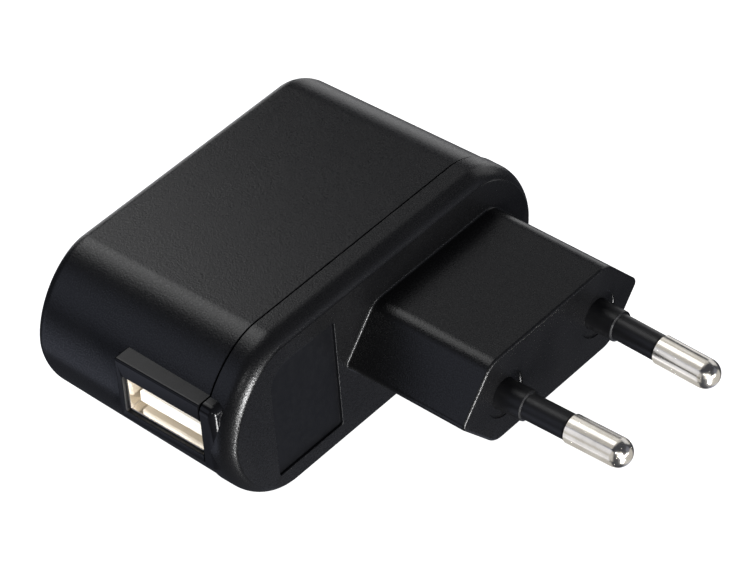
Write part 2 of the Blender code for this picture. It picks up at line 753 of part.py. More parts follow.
def usb_insulator():
    """The moulded block at the back of the port with its tongue, grooved for the contacts."""
    inner = SHELL_WIDTH / 2 - SHELL_WALL - 0.05 * MM
    block = add_box(
        "usb_insulator",
        (BLOCK_FRONT_X, PORT_Y - inner, SHELL_BOTTOM + SHELL_WALL + 0.05 * MM),
        (SHELL_REAR_X - 0.3 * MM, PORT_Y + inner, SHELL_TOP - SHELL_WALL - 0.05 * MM),
        "white_insulator",
    )
    tongue = add_box(
        "tongue",
        (TONGUE_FRONT_X, PORT_Y - TONGUE_WIDTH / 2, TONGUE_BOTTOM),
        (BLOCK_FRONT_X + 1 * MM, PORT_Y + TONGUE_WIDTH / 2, TONGUE_TOP),
    )
    round_edges(tongue, 0.2 * MM, 1)
    join(block, tongue)
    root_x, root_z = contact_root()
    for number, offset in enumerate(CONTACT_Y, 1):
        y = PORT_Y + offset
        groove = add_box(
            f"contact_groove_{number}",
            (root_x - CONTACT_LENGTH - 0.35 * MM, y - GROOVE_WIDTH / 2, TONGUE_TOP - GROOVE_DEPTH),
            (BLOCK_FRONT_X, y + GROOVE_WIDTH / 2, TONGUE_TOP + 1 * MM),
        )
        slot = add_box(
            f"tail_slot_{number}",
            (BLOCK_FRONT_X - 0.5 * MM, y - CONTACT_WIDTH / 2 - FIT, root_z - 0.2 * MM),
            (SHELL_REAR_X + 1 * MM, y + CONTACT_WIDTH / 2 + FIT, root_z + 0.2 * MM),
        )
        cut(block, groove, slot)
    return block


def usb_contacts():
    """Contact springs that turn about their roots, and the fixed tails soldered to the board."""
    root_x, root_z = contact_root()
    crest = TONGUE_TOP + CONTACT_RISE - CONTACT_THICKNESS / 2 - root_z
    centre_line = (
        (0, 0),
        (-CONTACT_LENGTH * 0.30, crest * 0.30),
        (-CONTACT_LENGTH * 0.68, crest * 0.94),
        (-CONTACT_LENGTH * 0.78, crest),
        (-CONTACT_LENGTH * 0.88, crest * 0.90),
        (-CONTACT_LENGTH, crest * 0.35),
    )
    back = SHELL_REAR_X + 0.9 * MM
    tail_line = (
        (0.12 * MM, 0),
        (back - root_x - 0.5 * MM, 0),
        (back - root_x - 0.1 * MM, 0.15 * MM),
        (back - root_x, 0.6 * MM),
        (back - root_x, BOARD_TOP + 0.7 * MM - root_z),
    )
    for number, offset in enumerate(CONTACT_Y, 1):
        place = (root_x, PORT_Y + offset, root_z)
        profile_strip(
            f"usb_contact_{number}",
            bent_strip(centre_line, CONTACT_THICKNESS),
            CONTACT_WIDTH,
            "gold_plate",
            place,
        )
        profile_strip(
            f"usb_contact_tail_{number}",
            bent_strip(tail_line, CONTACT_THICKNESS),
            CONTACT_WIDTH * 0.6,
            "tinned_copper",
            place,
        )


# ---------------------------------------------------------------- board and components


BOARD_HOLES = []


def lead(owner, x, y, z_from, number, radius=LEAD_RADIUS):
    """A straight lead of the owner through its own hole in the board."""
    wire = add_cylinder(
        f"{owner.name}_lead_{number}",
        (x, y, z_from),
        (0, 0, 1),
        BOARD_TOP + LEAD_ABOVE_BOARD - z_from,
        radius,
        segments=6,
    )
    join(owner, wire)
    BOARD_HOLES.append((x, y, radius + 0.15 * MM))


def surface_box(name, centre, size, look, rounding=0.15 * MM):
    """A box soldered on the upper face of the board."""
    x, y = centre
    width, depth, height = size
    low = BOARD_TOP + FIT
    made = add_box(
        name,
        (x - width / 2, y - depth / 2, low),
        (x + width / 2, y + depth / 2, low + height),
        look,
    )
    round_edges(made, rounding, 1)
    return made


def electrolytic(name, centre, radius, length, pitch):
    """A can hanging under the board, bung up, with its two leads and its printed-film sleeve left plain."""
    x, y = centre
    top = BOARD_BOTTOM - 0.4 * MM
    inner = radius - 0.12 * MM
    can = add_turned(
        name,
        (
            (0, length / 2),
            (inner - 0.5 * MM, length / 2),
            (inner, length / 2 - 0.3 * MM),
            (inner, length / 2 - 1.2 * MM),
            (inner - 0.45 * MM, length / 2 - 1.7 * MM),
            (inner, length / 2 - 2.2 * MM),
            (inner, -length / 2 + 0.4 * MM),
            (inner - 0.4 * MM, -length / 2),
            (0, -length / 2),
        ),
        "aluminium_can",
        (x, y, top - length / 2),
        steps=16,
    )
    for number, side in enumerate((-1, 1), 1):
        lead(can, x + side * pitch / 2, y, top - 0.5 * MM, number)
    sleeve_low = -length / 2 + 0.6 * MM
    sleeve_high = length / 2 - 2.4 * MM
    add_turned(
        f"{name}_sleeve",
        (
            (inner + 0.03 * MM, sleeve_high),
            (radius, sleeve_high),
            (radius, sleeve_low),
            (inner + 0.03 * MM, sleeve_low),
        ),
        "capacitor_sleeve",
        (x, y, top - length / 2),
        steps=16,
        ring=True,
    )


def axial(name, start, end, radius, look):
    """A body lying along X or Y under the board, its leads bent straight up at both ends."""
    first = Vector((*start, BOARD_BOTTOM - 0.3 * MM - radius))
    last = Vector((*end, BOARD_BOTTOM - 0.3 * MM - radius))
    along = (last - first).normalized()
    length = (last - first).length
    body = add_turned(
        name,
        (
            (0, length / 2),
            (radius * 0.8, length / 2),
            (radius, length / 2 - radius * 0.35),
            (radius, length / 2 - radius * 0.9),
            (radius * 0.9, length / 2 - radius * 1.2),
            (radius * 0.9, -length / 2 + radius * 1.2),
            (radius, -length / 2 + radius * 0.9),
            (radius, -length / 2 + radius * 0.35),
            (radius * 0.8, -length / 2),
            (0, -length / 2),
        ),
        look,
        (first + last) / 2,
        Vector((0, 0, 1)).rotation_difference(along).to_euler(),
        steps=12,
    )
    reach = 1.3 * MM
    for number, (place, way) in enumerate(((first, -1), (last, 1)), 1):
        arm = add_cylinder(
            f"{name}_arm_{number}",
            place - along * way * 0.4 * MM,
            along * way,
            reach + 0.4 * MM + LEAD_RADIUS,
            LEAD_RADIUS,
            segments=6,
        )
        join(body, arm)
        foot = place + along * way * reach
        lead(body, foot.x, foot.y, foot.z - LEAD_RADIUS, number)


def transformer():
    """Two E cores round a bobbin whose pins go up through the board."""
    x, y = TRANSFORMER_X, TRANSFORMER_Y
    middle = BOBBIN_TOP - 1.6 * MM - CORE_HEIGHT / 2
    post_bore = CORE_POST / 2 + 0.3 * MM
    for label, way in (("upper", 1), ("lower", -1)):
        z_back = middle + way * CORE_HEIGHT / 2
        z_face = middle + way * 0.04 * MM
        core = add_box(
            f"transformer_core_{label}",
            (x - CORE_WIDTH / 2, y - CORE_DEPTH / 2, min(z_back, z_face)),
            (x + CORE_WIDTH / 2, y + CORE_DEPTH / 2, max(z_back, z_face)),
            "ferrite",
        )
        z_window = z_back - way * CORE_LEG
        for number, side in enumerate((-1, 1), 1):
            inner = x + side * CORE_POST / 2
            outer = x + side * (CORE_WIDTH / 2 - CORE_LEG)
            window = add_box(
                f"core_window_{label}_{number}",
                (min(inner, outer), y - CORE_DEPTH, min(z_window, z_face - way * 1 * MM)),
                (max(inner, outer), y + CORE_DEPTH, max(z_window, z_face - way * 1 * MM)),
            )
            cut(core, window)
    window_top = middle + CORE_HEIGHT / 2 - CORE_LEG - 0.1 * MM
    window_low = middle - CORE_HEIGHT / 2 + CORE_LEG + 0.1 * MM
    flange_half = CORE_WIDTH / 2 - CORE_LEG - 0.1 * MM
    bobbin = add_box(
        "transformer_bobbin",
        (x - post_bore - 0.5 * MM, y - CORE_DEPTH / 2 - 0.8 * MM, window_low),
        (x + post_bore + 0.5 * MM, y + CORE_DEPTH / 2 + 0.8 * MM, window_top),
        "bobbin_resin",
    )
    round_uprights(bobbin, TUBE_ROUND)
    for label, low, high in (
        ("upper", window_top - 0.6 * MM, window_top),
        ("lower", window_low, window_low + 0.6 * MM),
    ):
        flange = add_box(
            f"bobbin_flange_{label}",
            (x - flange_half, y - BOBBIN_LENGTH / 2, low),
            (x + flange_half, y + BOBBIN_LENGTH / 2, high),
        )
        join(bobbin, flange)
    for number, side in enumerate((-1, 1), 1):
        near = y + side * (CORE_DEPTH / 2 + 0.3 * MM)
        far = y + side * (BOBBIN_LENGTH / 2 + 0.6 * MM)
        bar = add_box(
            f"bobbin_pin_bar_{number}",
            (x - CORE_WIDTH / 2, min(near, far), window_top - 0.3 * MM),
            (x + CORE_WIDTH / 2, max(near, far), BOBBIN_TOP),
        )
        join(bobbin, bar)
    bore = add_box(
        "bobbin_bore",
        (x - post_bore + 0.2 * MM, y - CORE_DEPTH / 2 - 0.1 * MM, window_low - 1 * MM),
        (x + post_bore - 0.2 * MM, y + CORE_DEPTH / 2 + 0.1 * MM, window_top + 1 * MM),
    )
    cut(bobbin, bore)
    layers = (
        ("transformer_primary", 0.05 * MM, 0.9 * MM, "copper_wire"),
        ("transformer_secondary", 0.95 * MM, 1.45 * MM, "copper_wire"),
        ("transformer_tape", 1.5 * MM, 1.7 * MM, "winding_tape"),
    )
    heights = (window_low + 0.65 * MM, window_top - 0.65 * MM)
    for name, inner, outer, look in layers:
        winding_layer(name, (inner, outer), heights, look, post_bore)
    number = 0
    for side in (-1, 1):
        for column in (-1, 0, 1):
            number += 1
            pin_x = x + column * BOBBIN_PIN_PITCH
            pin_y = y + side * (BOBBIN_LENGTH / 2 - 0.6 * MM)
            hole = add_cylinder(
                f"bobbin_pin_hole_{number}",
                (pin_x, pin_y, BOBBIN_TOP - 1.25 * MM),
                (0, 0, 1),
                3 * MM,
                LEAD_RADIUS + FIT,
                segments=8,
            )
            cut(bobbin, hole)
            add_cylinder(
                f"transformer_pin_{number}",
                (pin_x, pin_y, BOBBIN_TOP - 1.2 * MM),
                (0, 0, 1),
                BOARD_TOP + LEAD_ABOVE_BOARD - BOBBIN_TOP + 1.2 * MM,
                LEAD_RADIUS,
                "tinned_copper",
                segments=8,
            )
            BOARD_HOLES.append((pin_x, pin_y, LEAD_HOLE_RADIUS))


def winding_layer(name, offsets, heights, look, post_bore):
    """One layer of the winding: a rounded rectangular ring between two offsets from the bobbin tube."""
    x, y = TRANSFORMER_X, TRANSFORMER_Y
    inner, outer = offsets
    low, high = heights
    across = post_bore + 0.5 * MM
    deep = CORE_DEPTH / 2 + 0.8 * MM
    ring = add_box(
        name,
        (x - across - outer, y - deep - outer, low),
        (x + across + outer, y + deep + outer, high),
        look,
    )
    round_uprights(ring, TUBE_ROUND + outer)
    hole = add_box(
        f"{name}_inside",
        (x - across - inner, y - deep - inner, low - 1 * MM),
        (x + across + inner, y + deep + inner, high + 1 * MM),
    )
    round_uprights(hole, TUBE_ROUND + inner)
    cut(ring, hole)


def safety_capacitor():
    """The disc across the isolation gap, standing under the board."""
    x, y = SAFETY_CAPACITOR_PLACE
    radius = SAFETY_CAPACITOR_RADIUS
    disc = add_cylinder(
        "safety_capacitor",
        (x - SAFETY_CAPACITOR_THICKNESS / 2, y, BOARD_BOTTOM - 1.2 * MM - radius),
        (1, 0, 0),
        SAFETY_CAPACITOR_THICKNESS,
        radius,
        "disc_coating",
        segments=20,
    )
    round_edges(disc, 0.6 * MM, 2)
    for number, side in enumerate((-1, 1), 1):
        lead(disc, x, y + side * 2.5 * MM, BOARD_BOTTOM - 2.5 * MM - radius * 0.4, number)


def axial_along_x(name, x_ends, y, radius, look):
    axial(name, (x_ends[0], y), (x_ends[1], y), radius, look)


def surface_components():
    """The small bodies on the board's upper face: name, centre, size and look."""
    long, short, height = DIODE_SIZE
    for number, x in enumerate((13.2 * MM, 16.2 * MM, 19.0 * MM), 1):
        surface_box(f"rectifier_diode_{number}", (x, 8.0 * MM), (short, long, height), "chip_resin")
    surface_box("rectifier_diode_4", (6.5 * MM, 6.6 * MM), DIODE_SIZE, "chip_resin")
    surface_box("controller_chip", (6.2 * MM, 14.4 * MM), (4.9 * MM, 3.9 * MM, 1.5 * MM), "chip_resin")
    surface_box("snubber_diode", (8.8 * MM, 18.6 * MM), DIODE_SIZE, "chip_resin")
    surface_box("snubber_resistor", (8.6 * MM, 22.0 * MM), (3.2 * MM, 1.6 * MM, 0.55 * MM), "chip_resin")
    surface_box("snubber_capacitor", (8.6 * MM, 24.8 * MM), (3.2 * MM, 1.6 * MM, 1.1 * MM), "ceramic_body")
    surface_box("output_diode", (-14.8 * MM, 22.6 * MM), (4.4 * MM, 3.6 * MM, 2.2 * MM), "chip_resin")
    surface_box("feedback_resistor", (-4.6 * MM, 13.2 * MM), (2.0 * MM, 1.25 * MM, 0.5 * MM), "chip_resin")


def components():
    transformer()
    for number, place in enumerate(BULK_CAPACITOR_PLACES, 1):
        electrolytic(f"bulk_capacitor_{number}", place, *BULK_CAPACITOR_SIZE)
    electrolytic("output_capacitor", OUTPUT_CAPACITOR_PLACE, *OUTPUT_CAPACITOR_SIZE)
    electrolytic("supply_capacitor", SUPPLY_CAPACITOR_PLACE, *SUPPLY_CAPACITOR_SIZE)
    axial_along_x(
        "fusible_resistor",
        FUSIBLE_RESISTOR_X,
        FUSIBLE_RESISTOR_Y,
        FUSIBLE_RESISTOR_RADIUS,
        "resistor_coating",
    )
    axial_along_x(
        "input_inductor",
        INPUT_INDUCTOR_X,
        INPUT_INDUCTOR_Y,
        INPUT_INDUCTOR_RADIUS,
        "inductor_coating",
    )
    safety_capacitor()
    surface_components()


def circuit_board():
    """The board, with a hole for every lead that goes through it."""
    board = add_box(
        "circuit_board",
        (-BOARD_HALF_LENGTH, BOARD_FRONT, BOARD_BOTTOM),
        (BOARD_HALF_LENGTH, BOARD_REAR, BOARD_TOP),
        "board_laminate",
    )
    holes = list(BOARD_HOLES)
    holes += [(*place, WIRE_RADIUS + 0.15 * MM) for place in WIRE_HOLES.values()]
    tail_x = SHELL_REAR_X + 0.9 * MM
    holes += [(tail_x, PORT_Y + offset, 0.55 * MM) for offset in CONTACT_Y]
    for number, (x, y, radius) in enumerate(holes, 1):
        hole = add_cylinder(
            f"board_hole_{number}",
            (x, y, BOARD_BOTTOM - 1 * MM),
            (0, 0, 1),
            BOARD_THICKNESS + 2 * MM,
            radius,
            segments=8,
        )
        cut(board, hole)
    for number, side in enumerate((-1, 1), 1):
        y = PORT_Y + side * (SHELL_WIDTH / 2 - 0.2 * MM)
        slot = add_box(
            f"board_slot_{number}",
            (SHELL_REAR_X - 6.9 * MM, y - 0.35 * MM, BOARD_BOTTOM - 1 * MM),
            (SHELL_REAR_X - 4.6 * MM, y + 0.35 * MM, BOARD_TOP + 1 * MM),
        )
        cut(board, slot)
    return board


rear_cover()
front_cover()
pins()
pin_wires()
usb_shell()
usb_insulator()
usb_contacts()
shell_springs()
components()
circuit_board()
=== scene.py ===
"""Looks for the usb wall charger, in a white studio.

Finely built covers, pins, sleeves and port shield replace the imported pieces; the rest is painted as packed.
"""

import json
import math

import bmesh
import bpy
from mathutils import Matrix, Vector

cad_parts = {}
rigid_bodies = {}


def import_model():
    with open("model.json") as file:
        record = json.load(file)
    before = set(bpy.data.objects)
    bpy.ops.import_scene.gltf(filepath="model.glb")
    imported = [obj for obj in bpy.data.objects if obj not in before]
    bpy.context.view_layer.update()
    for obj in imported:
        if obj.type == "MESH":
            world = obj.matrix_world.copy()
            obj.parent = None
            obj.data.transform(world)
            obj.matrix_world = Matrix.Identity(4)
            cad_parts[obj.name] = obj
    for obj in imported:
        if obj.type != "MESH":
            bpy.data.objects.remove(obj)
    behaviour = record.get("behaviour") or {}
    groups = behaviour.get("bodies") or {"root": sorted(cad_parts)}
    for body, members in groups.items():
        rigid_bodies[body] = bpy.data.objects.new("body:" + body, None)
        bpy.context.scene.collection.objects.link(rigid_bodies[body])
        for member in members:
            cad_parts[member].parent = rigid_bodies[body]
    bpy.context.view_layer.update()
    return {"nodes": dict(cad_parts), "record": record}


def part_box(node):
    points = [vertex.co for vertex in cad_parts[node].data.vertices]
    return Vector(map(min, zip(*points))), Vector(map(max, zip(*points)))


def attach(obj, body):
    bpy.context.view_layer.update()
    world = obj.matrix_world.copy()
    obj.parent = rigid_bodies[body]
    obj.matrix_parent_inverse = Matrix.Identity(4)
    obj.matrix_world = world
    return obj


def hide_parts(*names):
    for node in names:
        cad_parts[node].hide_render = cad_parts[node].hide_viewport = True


MM = 0.001
QUARTER_TURN = math.pi / 2
ON_AXIS = 0.0001 * MM

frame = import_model()
NODES = frame["nodes"]

# ---------------------------------------------------------------- places, from the frame

FRONT_LOW, FRONT_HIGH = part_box("front_cover")
REAR_LOW, REAR_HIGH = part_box("rear_cover")
SHELL_LOW, SHELL_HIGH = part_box("usb_shell")

HALF_LENGTH = FRONT_HIGH.x
HALF_THICKNESS = FRONT_HIGH.z / 2
PLUG_FACE_Y = FRONT_LOW.y
FRONT_Y = PLUG_FACE_Y + 19.2 * MM
REAR_Y = REAR_HIGH.y
REAR_START_Y = REAR_LOW.y
PARTING_Y = REAR_START_Y - 0.125 * MM
FRONT_END_Y = PARTING_Y - 0.125 * MM

END_REACH = 11.0 * MM
END_EXPONENT = 1.8
WALL = 2.0 * MM
REAR_EDGE_ROUND = 2.1 * MM
REAR_DRAFT = 0.55 * MM
REAR_STEP = 0.15 * MM
FRONT_EDGE_ROUND = 2.7 * MM
FRONT_EDGE_SWEEP = math.radians(62)
FRONT_PLATEAU = 0.12 * MM

BOSS_X = 9.5 * MM
BOSS_FLAT = 23.2 * MM
BOSS_WIDTH = 35.2 * MM
BOSS_HEIGHT = 13.5 * MM

PORT_Y = 13.2 * MM
PORT_Z = 14.15 * MM
BEZEL_TOP = 19.7 * MM
BEZEL_BOTTOM = 9.8 * MM
BEZEL_REAR = 21.05 * MM
BEZEL_INNER_X = -26.2 * MM
SHELL_ADVANCE = 0.45 * MM


# ---------------------------------------------------------------- mesh helpers


def link(name, mesh):
    obj = bpy.data.objects.new(name, mesh)
    bpy.context.scene.collection.objects.link(obj)
    return obj


def skin(name, loops, material=None, ring=False):
    """A closed skin over loops of points; with ring, the last loop joins the first."""
    bm = bmesh.new()
    rings = [[bm.verts.new(point) for point in loop] for loop in loops]
    pairs = list(zip(rings, rings[1:]))
    if ring:
        pairs.append((rings[-1], rings[0]))
    for near, far in pairs:
        for index in range(len(near)):
            bm.faces.new((near[index - 1], near[index], far[index], far[index - 1]))
    if not ring:
        bm.faces.new(rings[0])
        bm.faces.new(rings[-1][::-1])
    bmesh.ops.remove_doubles(bm, verts=bm.verts, dist=0.0000001)
    bmesh.ops.recalc_face_normals(bm, faces=bm.faces)
    mesh = bpy.data.meshes.new(name)
    bm.to_mesh(mesh)
    bm.free()
    if material:
        mesh.materials.append(material)
    return link(name, mesh)


def block(name, low, high, material=None, rounding=0.0, segments=3, keep=None):
    """A box between two corners with rounded edges; keep says which edges are rounded."""
    bm = bmesh.new()
    bmesh.ops.create_cube(bm, size=1)
    size = Vector(high) - Vector(low)
    bmesh.ops.scale(bm, vec=size, verts=bm.verts)
    bmesh.ops.translate(bm, vec=(Vector(high) + Vector(low)) / 2, verts=bm.verts)
    if rounding:
        edges = [edge for edge in bm.edges if keep is None or keep(edge)]
        bmesh.ops.bevel(
            bm,
            geom=edges,
            offset=rounding,
            segments=segments,
            profile=0.5,
            affect="EDGES",
            clamp_overlap=True,
        )
    mesh = bpy.data.meshes.new(name)
    bm.to_mesh(mesh)
    bm.free()
    if material:
        mesh.materials.append(material)
    return link(name, mesh)


def combine(obj, other, operation):
    """A Boolean with its operand, applied at once; the operand is removed."""
    modifier = obj.modifiers.new("combine", "BOOLEAN")
    modifier.operation = operation
    modifier.solver = "EXACT"
    modifier.material_mode = "TRANSFER"
    modifier.object = other
    graph = bpy.context.evaluated_depsgraph_get()
    mesh = bpy.data.meshes.new_from_object(obj.evaluated_get(graph))
    obj.modifiers.clear()
    obj.data = mesh
    bpy.data.objects.remove(other, do_unlink=True)


def cut(obj, *others):
    for other in others:
        combine(obj, other, "DIFFERENCE")


def join(obj, *others):
    for other in others:
        combine(obj, other, "UNION")


def finish_shape(obj, angle=30):
    """Smooth shading with crisp edges, and normals that keep flat faces flat."""
    bm = bmesh.new()
    bm.from_mesh(obj.data)
    bmesh.ops.remove_doubles(bm, verts=bm.verts, dist=0.0000005)
    bmesh.ops.triangulate(bm, faces=[face for face in bm.faces if len(face.verts) > 4])
    bm.to_mesh(obj.data)
    bm.free()
    obj.data.shade_smooth()
    obj.data.set_sharp_from_angle(angle=math.radians(angle))
    weighted = obj.modifiers.new("normals", "WEIGHTED_NORMAL")
    weighted.keep_sharp = True
    weighted.weight = 80


def turned(name, profile, place, axis, material, steps=64, ring=False):
    """A profile of (radius, distance) turned about axis from place; distance is along the axis."""
    turn = Vector((0, 0, 1)).rotation_difference(Vector(axis).normalized()).to_matrix().to_4x4()
    matrix = Matrix.Translation(place) @ turn
    loops = []
    for radius, along in profile:
        loops.append(
            [
                matrix @ Vector((radius * math.cos(angle), radius * math.sin(angle), along))
                for angle in (step / steps * math.tau for step in range(steps))
            ]
        )
    return skin(name, loops, material, ring)


# ---------------------------------------------------------------- outlines


def body_outline(inset, steps=40):
    """Two flat sides joined by bulged ends, drawn in by inset: (x, z) points."""
    centre = HALF_LENGTH - END_REACH
    points = []
    for side in (1, -1):
        for step in range(2 * steps + 1):
            angle = side * (step / (2 * steps) * math.pi - QUARTER_TURN)
            across = max(math.cos(angle), 0.0) ** (2 / END_EXPONENT)
            up = math.copysign(abs(math.sin(angle)) ** (2 / END_EXPONENT), math.sin(angle))
            x = side * (centre + (END_REACH - inset) * across)
            points.append((x, HALF_THICKNESS + (HALF_THICKNESS - inset) * up))
    return points


def rounded_polygon(corners, radii, steps=8):
    points = []
    count = len(corners)
    for index, radius in enumerate(radii):
        before, corner, after = (Vector(corners[(index + shift) % count]) for shift in (-1, 0, 1))
        back = (before - corner).normalized()
        ahead = (after - corner).normalized()
        half_angle = back.angle(ahead) / 2
        middle = corner + (back + ahead).normalized() * radius / math.sin(half_angle)
        first = corner + back * radius / math.tan(half_angle) - middle
        last = corner + ahead * radius / math.tan(half_angle) - middle
        turn = first.angle_signed(last)
        for step in range(steps + 1):
            angle = math.atan2(first.y, first.x) - turn * step / steps
            points.append((middle.x + radius * math.cos(angle), middle.y + radius * math.sin(angle)))
    return points


def boss_outline(inset):
    flat = BOSS_FLAT / 2 - inset * 0.4
    tip = BOSS_WIDTH / 2 - inset * 1.35
    height = BOSS_HEIGHT / 2 - inset
    corners = ((flat, height), (tip, 0), (flat, -height), (-flat, -height), (-tip, 0), (-flat, height))
    shoulder = max(3.0 * MM - inset, 1.0 * MM)
    tip_round = max(0.9 * MM - inset, 0.3 * MM)
    points = rounded_polygon(corners, (shoulder, tip_round, shoulder) * 2)
    return [(BOSS_X + x, HALF_THICKNESS + z) for x, z in points]


def at_y(y, outline):
    return [(x, y, z) for x, z in outline]


def rounding(y_face, way, radius, inset, outline, steps=8):
    """Loops that round an outline off towards its end face; way is +1 where the face looks to +Y."""
    loops = []
    for step in range(steps + 1):
        angle = step / steps * QUARTER_TURN
        y = y_face - way * radius * (1 - math.sin(angle))
        loops.append(at_y(y, outline(inset + radius * (1 - math.cos(angle)))))
    return loops if way > 0 else loops[::-1]


def rect_loop(x, y_low, y_high, z_low, z_high, radius, steps=5):
    corners = ((y_high, z_high), (y_high, z_low), (y_low, z_low), (y_low, z_high))
    return [(x, y, z) for y, z in rounded_polygon(corners, (radius,) * 4, steps)]


# ---------------------------------------------------------------- materials


class Nodes:
    """A small helper for building a material's node tree."""

    def __init__(self, name):
        self.material = bpy.data.materials.new(name)
        self.material.use_nodes = True
        self.tree = self.material.node_tree
        self.shader = self.tree.nodes["Principled BSDF"]
        self.place = self.add("ShaderNodeTexCoord").outputs["Object"]

    def add(self, kind, **settings):
        node = self.tree.nodes.new(kind)
        for key, value in settings.items():
            setattr(node, key, value)
        return node

    def link(self, source, target):
        self.tree.links.new(source, target)

    def noise(self, scale, detail=3.0, roughness=0.5, stretch=None):
        node = self.add("ShaderNodeTexNoise")
        node.inputs["Scale"].default_value = scale
        node.inputs["Detail"].default_value = detail
        node.inputs["Roughness"].default_value = roughness
        self.link(self.stretched(stretch), node.inputs["Vector"])
        return node.outputs["Fac"]

    def cells(self, scale):
        node = self.add("ShaderNodeTexVoronoi", feature="F1")
        node.inputs["Scale"].default_value = scale
        self.link(self.place, node.inputs["Vector"])
        return node.outputs["Distance"]

    def stretched(self, stretch):
        if stretch is None:
            return self.place
        node = self.add("ShaderNodeMapping")
        node.inputs["Scale"].default_value = stretch
        self.link(self.place, node.inputs["Vector"])
        return node.outputs["Vector"]

    def spread(self, source, low, high, from_low=0.0, from_high=1.0):
        node = self.add("ShaderNodeMapRange")
        self.link(source, node.inputs["Value"])
        node.inputs["From Min"].default_value = from_low
        node.inputs["From Max"].default_value = from_high
        node.inputs["To Min"].default_value = low
        node.inputs["To Max"].default_value = high
        return node.outputs["Result"]

    def mix_colours(self, factor, first, second):
        node = self.add("ShaderNodeMix", data_type="RGBA")
        self.link(factor, node.inputs["Factor"])
        node.inputs["A"].default_value = (*first, 1)
        node.inputs["B"].default_value = (*second, 1)
        return node.outputs["Result"]

    def bump(self, height, strength, distance, normal=None):
        node = self.add("ShaderNodeBump")
        node.inputs["Strength"].default_value = strength
        node.inputs["Distance"].default_value = distance
        self.link(height, node.inputs["Height"])
        if normal is not None:
            self.link(normal, node.inputs["Normal"])
        return node.outputs["Normal"]

    def set(self, **values):
        for key, value in values.items():
            self.shader.inputs[key.replace("_", " ")].default_value = value
        return self

    def drive(self, **sources):
        for key, source in sources.items():
            self.link(source, self.shader.inputs[key.replace("_", " ")])
        return self.material


def textured_plastic(name, dark, light, rough_low, rough_high, grain, depth):
    """A moulded, pressed or fired surface: a fine grain over slow changes of shade."""
    n = Nodes(name)
    fine = n.noise(grain, 2.0, 0.6)
    cells = n.cells(grain * 0.7)
    patches = n.noise(90, 3.0)
    colour = n.mix_colours(n.spread(patches, 0.0, 1.0, 0.35, 0.65), dark, light)
    rough = n.spread(fine, rough_low, rough_high, 0.3, 0.7)
    normal = n.bump(cells, 0.7, depth)
    normal = n.bump(fine, 0.9, depth, normal)
    return n.drive(Base_Color=colour, Roughness=rough, Normal=normal)


COVER = textured_plastic(
    "cover_plastic", (0.0045, 0.0045, 0.005), (0.0065, 0.0065, 0.007), 0.22, 0.40, 5600, 0.000018
)
BOSS = textured_plastic(
    "plug_plastic", (0.0045, 0.0045, 0.005), (0.006, 0.006, 0.0065), 0.22, 0.38, 5600, 0.000016
)


def smooth_plastic(name, colour, light, rough, waviness=0.00001, shine=0.5):
    n = Nodes(name)
    n.set(Specular_IOR_Level=shine)
    patches = n.noise(120, 3.0)
    streaks = n.noise(900, 2.0)
    tint = n.mix_colours(n.spread(patches, 0.0, 1.0, 0.35, 0.65), colour, light)
    roughness = n.spread(streaks, rough * 0.92, rough * 1.1, 0.3, 0.7)
    return n.drive(Base_Color=tint, Roughness=roughness, Normal=n.bump(patches, 0.4, waviness))


GLOSS = smooth_plastic(
    "bezel_gloss_plastic", (0.005, 0.005, 0.006), (0.007, 0.007, 0.008), 0.18, 0.00001, 0.3
)
MOUTH = smooth_plastic("port_mouth_plastic", (0.004, 0.004, 0.005), (0.006, 0.006, 0.007), 0.45)
# Painted shade: the label recess gets a darker, cooler copy of the cover's black plastic.
RECESS_PAINTED_SHADE = smooth_plastic(
    "recess_plastic_painted_shade", (0.0030, 0.0032, 0.0042), (0.0036, 0.0038, 0.0048), 0.40, 0.000001, 0.28
)
SLEEVE = smooth_plastic("sleeve_plastic", (0.006, 0.006, 0.007), (0.009, 0.009, 0.010), 0.38, 0.00003)
WHITE = smooth_plastic("insulator_plastic", (0.84, 0.83, 0.80), (0.90, 0.89, 0.86), 0.42)


def metal(name, colour, worn, rough, scratch=(40, 40, 900), depth=0.000004):
    """Plated metal with fine drawing lines and duller worn patches."""
    n = Nodes(name)
    lines = n.noise(1.0, 4.0, 0.6, scratch)
    patches = n.noise(260, 4.0, 0.6)
    tint = n.mix_colours(n.spread(patches, 0.0, 1.0, 0.4, 0.7), colour, worn)
    roughness = n.spread(lines, rough * 0.7, rough * 1.4, 0.3, 0.7)
    n.set(Metallic=1.0)
    return n.drive(Base_Color=tint, Roughness=roughness, Normal=n.bump(lines, 0.5, depth))


NICKEL = metal("pin_nickel", (0.78, 0.75, 0.70), (0.66, 0.63, 0.58), 0.20, (900, 120, 900))
STEEL = metal("shell_steel", (0.92, 0.87, 0.80), (0.84, 0.79, 0.71), 0.13, (120, 2600, 2600), 0.0000008)
GOLD = metal("contact_gold", (0.90, 0.66, 0.28), (0.78, 0.56, 0.25), 0.22, (200, 4000, 200))
TIN = metal("tinned_lead", (0.70, 0.68, 0.64), (0.55, 0.53, 0.50), 0.34, (2000, 2000, 300))
ALUMINIUM = metal("aluminium_can", (0.80, 0.80, 0.82), (0.70, 0.70, 0.72), 0.28, (300, 300, 3000))


